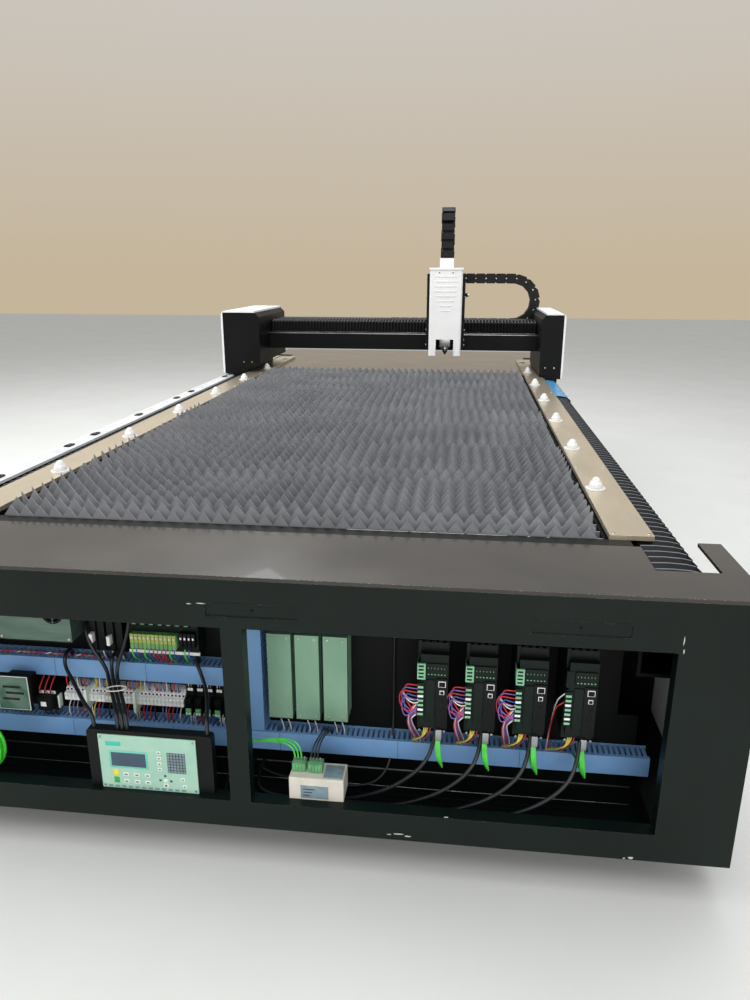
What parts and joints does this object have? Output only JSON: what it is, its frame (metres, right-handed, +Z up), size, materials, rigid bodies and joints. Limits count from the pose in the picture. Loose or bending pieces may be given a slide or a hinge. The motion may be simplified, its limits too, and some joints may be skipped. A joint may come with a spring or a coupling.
{
  "type": "flatbed laser cutting machine",
  "caption": "Flat-bed sheet-metal laser cutter: toothed slat bed, bellows-covered rails, travelling gantry with cutting head, open electrical cabinet at the front.",
  "frame": {"origin": "on the floor under the middle of the machine", "axes": "+X to the right of someone standing at the cabinet, +Y from the cabinet to the rear, +Z up"},
  "size_m": [1.99, 4.42, 1.6174],
  "materials": {
    "black_paint": "satin black enamel, green cast",
    "deck_paint": "gloss black enamel",
    "white_paint": "white powder coat",
    "grey_paint": "light grey coat",
    "plain_steel": "machined",
    "polished_steel": "polished",
    "slat_steel": "hot-rolled, laser cut",
    "galvanised": "galvanised",
    "motor_black": "black",
    "white_plastic": "moulded nylon",
    "bellows_fabric": "coated cloth",
    "chain_plastic": "moulded nylon",
    "duct_blue": "moulded",
    "drive_black": "moulded",
    "resistor_metal": "anodised, green reflections",
    "terminal_grey": "moulded",
    "plug_green": "moulded",
    "meter_grey": "moulded",
    "pendant_black": "moulded",
    "overlay_mint": "printed film",
    "module_beige": "moulded",
    "cable_green": "sheathed cable",
    "cable_black": "sheathed cable",
    "head_silver": "anodised",
    "nozzle_copper": "turned copper"
  },
  "bodies": {
    "bed": {"ball_housings": "white_plastic", "base_frame": "black_paint", "bellows_front": "bellows_fabric", "bellows_rear": "bellows_fabric", "braking_resistors": "resistor_metal", "cabinet_cables": "cable_black", "cabinet_face": "black_paint", "cabinet_shell": "black_paint", "cable_ducts": "duct_blue", "cross_members": "black_paint", "deck_plate_front": "deck_paint", "deck_plate_rear": "deck_paint", "display_meter": "meter_grey", "guard_rail": "grey_paint", "io_module": "module_beige", "levelling_feet": "plain_steel", "mounting_panel": "black_paint", "network_cable": "cable_green", "pendant_housing": "pendant_black", "pendant_overlay": "overlay_mint", "plug_connectors": "plug_green", "power_supply": "galvanised", "rear_end_panel": "black_paint", "relays_and_contactor": "drive_black", "scrap_pans": "galvanised", "servo_drives": "drive_black", "side_beams": "black_paint", "side_covers": "white_paint", "side_plates": "polished_steel", "signal_unit": "drive_black", "slat_combs": "plain_steel", "support_slats": "slat_steel", "terminal_blocks": "terminal_grey", "transfer_balls": "white_plastic", "y_chain_tray": "black_paint", "y_drag_chain": "chain_plastic", "y_guideways": "plain_steel"},
    "gantry": {"gantry_beam": "black_paint", "gantry_legs": "black_paint", "leg_shells": "white_paint", "gantry_feet": "black_paint", "y_carriages": "plain_steel", "y_motors": "motor_black", "x_guideway": "plain_steel", "x_chain_tray": "black_paint", "x_drag_chain": "chain_plastic", "bellows_x": "bellows_fabric"},
    "head": {"head_carriage": "black_paint", "head_side_plates": "black_paint", "head_cover": "white_paint", "head_drives": "plain_steel", "head_chain": "chain_plastic"},
    "tool": {"z_slide": "plain_steel", "cutting_head": "head_silver", "nozzle": "nozzle_copper"},
    "left_pinion": {"y_pinion_left": "plain_steel"},
    "right_pinion": {"y_pinion_right": "plain_steel"},
    "cross_pinion": {"x_pinion": "plain_steel"},
    "lift_screw": {"z_screw": "plain_steel"},
    "fan": {"supply_fan": "drive_black"}
  },
  "joints": [
    {"name": "gantry_travel", "type": "slide", "parent": "bed", "child": "gantry", "axis": [0, 1, 0], "range_m": [-2.6, 0.25], "deforming": ["bellows_front", "bellows_rear", "y_drag_chain"]},
    {"name": "head_travel", "type": "slide", "parent": "gantry", "child": "head", "axis": [1, 0, 0], "range_m": [-0.94, 0.4], "deforming": ["bellows_x", "x_drag_chain"]},
    {"name": "lift", "type": "slide", "parent": "head", "child": "tool", "axis": [0, 0, 1], "range_m": [-0.065, 0]},
    {"name": "left_pinion_spin", "type": "hinge", "parent": "gantry", "child": "left_pinion", "pos_m": [-0.896, 1.075, 0.64], "axis": [0, 0, 1], "range_deg": [-719, 7451]},
    {"name": "right_pinion_spin", "type": "hinge", "parent": "gantry", "child": "right_pinion", "pos_m": [0.896, 1.075, 0.64], "axis": [0, 0, 1], "range_deg": [-7451, 719]},
    {"name": "cross_pinion_spin", "type": "hinge", "parent": "head", "child": "cross_pinion", "pos_m": [0.237, 1.041, 0.94], "axis": [0, 0, 1], "range_deg": [-3369, 1435]},
    {"name": "screw_spin", "type": "hinge", "parent": "head", "child": "lift_screw", "pos_m": [0.295, 0.932, 1], "axis": [0, 0, 1], "range_deg": [-2, 2342]},
    {"name": "fan_spin", "type": "hinge", "parent": "bed", "child": "fan", "pos_m": [-0.527, -2.056, 0.523], "axis": [0, 1, 0], "continuous": true}
  ],
  "couplings": [
    {"joint": "left_pinion_spin", "follows": "gantry_travel", "rad_per_m": -50},
    {"joint": "right_pinion_spin", "follows": "gantry_travel", "rad_per_m": 50},
    {"joint": "cross_pinion_spin", "follows": "head_travel", "rad_per_m": 62.5},
    {"joint": "screw_spin", "follows": "lift", "rad_per_m": -628.32}
  ]
}
